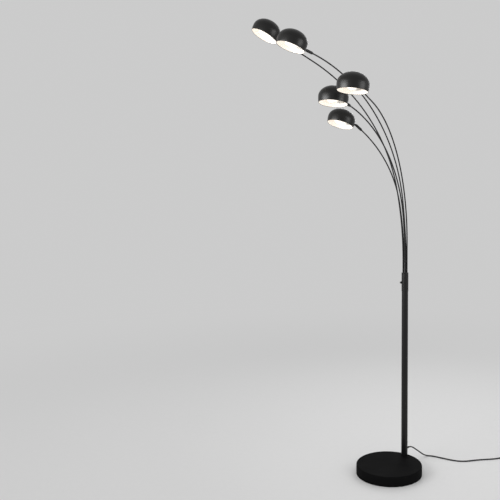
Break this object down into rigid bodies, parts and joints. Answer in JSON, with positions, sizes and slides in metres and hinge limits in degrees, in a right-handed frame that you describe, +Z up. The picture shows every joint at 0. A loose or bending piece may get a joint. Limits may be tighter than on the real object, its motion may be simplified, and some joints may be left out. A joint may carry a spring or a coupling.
{
  "type": "floor lamp",
  "caption": "Tree floor lamp: heavy drum base, one pole near its back edge, thin bent arms that fan out of the pole's top and end in tilting open dome shades.",
  "frame": {"origin": "centre of the round base's underside, on the floor", "axes": "+Z up; -Y is the front, the way the arms lean, with the pole at the back of the base; +X is the lamp's left"},
  "size_m": [0.8194, 1.19, 2.0236],
  "materials": {
    "base_paint": "satin",
    "pole_paint": "satin",
    "arm_paint": "satin",
    "shade_enamel": "satin black outside, white inside",
    "iron": "rough",
    "foam": "matt",
    "steel": "zinc plated",
    "moulding": "matt",
    "bulb_glass": "frosted",
    "cord_sheath": "matt",
    "plug_moulding": "matt",
    "plug_metal": "nickel plated"
  },
  "bodies": {
    "stand": {"base_cover": "base_paint", "base_weight": "iron", "base_pad": "foam", "pole_foot": "steel", "foot_washer": "steel", "foot_nut": "steel", "pole_tube": "pole_paint", "pole_collar": "pole_paint", "arm_cap": "pole_paint", "arm_keeper": "steel", "keeper_screw": "steel", "switch_body": "moulding", "switch_nut": "steel", "cord_gland": "moulding", "cord": "cord_sheath", "cord_coil": "cord_sheath", "plug_body": "plug_moulding", "plug_pins": "plug_metal"},
    "knob": {"switch_knob": "moulding"},
    "arm_1": {"arm_tube_1": "arm_paint", "arm_socket_1": "arm_paint", "hinge_pin_1": "arm_paint"},
    "head_1": {"knuckle_1": "arm_paint", "shade_1": "shade_enamel", "shade_nut_1": "steel", "lampholder_1": "moulding", "bulb_1": "bulb_glass"},
    "arm_2": {"arm_tube_2": "arm_paint", "arm_socket_2": "arm_paint", "hinge_pin_2": "arm_paint"},
    "head_2": {"knuckle_2": "arm_paint", "shade_2": "shade_enamel", "shade_nut_2": "steel", "lampholder_2": "moulding", "bulb_2": "bulb_glass"},
    "arm_3": {"arm_tube_3": "arm_paint", "arm_socket_3": "arm_paint", "hinge_pin_3": "arm_paint"},
    "head_3": {"knuckle_3": "arm_paint", "shade_3": "shade_enamel", "shade_nut_3": "steel", "lampholder_3": "moulding", "bulb_3": "bulb_glass"},
    "arm_4": {"arm_tube_4": "arm_paint", "arm_socket_4": "arm_paint", "hinge_pin_4": "arm_paint"},
    "head_4": {"knuckle_4": "arm_paint", "shade_4": "shade_enamel", "shade_nut_4": "steel", "lampholder_4": "moulding", "bulb_4": "bulb_glass"},
    "arm_5": {"arm_tube_5": "arm_paint", "arm_socket_5": "arm_paint", "hinge_pin_5": "arm_paint"},
    "head_5": {"knuckle_5": "arm_paint", "shade_5": "shade_enamel", "shade_nut_5": "steel", "lampholder_5": "moulding", "bulb_5": "bulb_glass"}
  },
  "joints": [
    {"name": "arm_swivel_1", "type": "hinge", "parent": "stand", "child": "arm_1", "pos_m": [-0.00558, 0.11731, 0.911], "axis": [0, 0, 1], "range_deg": [-4, 10]},
    {"name": "arm_swivel_2", "type": "hinge", "parent": "stand", "child": "arm_2", "pos_m": [0, 0.1345, 0.911], "axis": [0, 0, 1], "range_deg": [-10, 20]},
    {"name": "arm_swivel_3", "type": "hinge", "parent": "stand", "child": "arm_3", "pos_m": [0.00903, 0.12794, 0.911], "axis": [0, 0, 1], "range_deg": [-7, 20]},
    {"name": "arm_swivel_4", "type": "hinge", "parent": "stand", "child": "arm_4", "pos_m": [0.00558, 0.11731, 0.911], "axis": [0, 0, 1], "range_deg": [-15, 7]},
    {"name": "arm_swivel_5", "type": "hinge", "parent": "stand", "child": "arm_5", "pos_m": [-0.00903, 0.12794, 0.911], "axis": [0, 0, 1], "range_deg": [-20, 3]},
    {"name": "shade_tilt_1", "type": "hinge", "parent": "arm_1", "child": "head_1", "pos_m": [-0.2804, -0.40837, 1.9361], "axis": [-0.8736, 0.4844, 0.0462], "range_deg": [-50, 50]},
    {"name": "shade_tilt_2", "type": "hinge", "parent": "arm_2", "child": "head_2", "pos_m": [-0.07907, -0.47427, 1.86001], "axis": [-0.9777, 0.1609, 0.135], "range_deg": [-54, 46]},
    {"name": "shade_tilt_3", "type": "hinge", "parent": "arm_3", "child": "head_3", "pos_m": [0.17054, -0.43902, 1.68212], "axis": [-0.9639, -0.2614, 0.0508], "range_deg": [-42, 58]},
    {"name": "shade_tilt_4", "type": "hinge", "parent": "arm_4", "child": "head_4", "pos_m": [0.00173, -0.32399, 1.65868], "axis": [-0.9999, 0.003, -0.0165], "range_deg": [-40, 60]},
    {"name": "shade_tilt_5", "type": "hinge", "parent": "arm_5", "child": "head_5", "pos_m": [-0.13237, -0.07733, 1.59116], "axis": [-0.8874, 0.454, -0.0795], "range_deg": [-27, 38]},
    {"name": "switch_turn", "type": "hinge", "parent": "stand", "child": "knob", "pos_m": [0, 0.125, 0.864], "axis": [-0.7071, -0.7071, 0], "continuous": true}
  ]
}
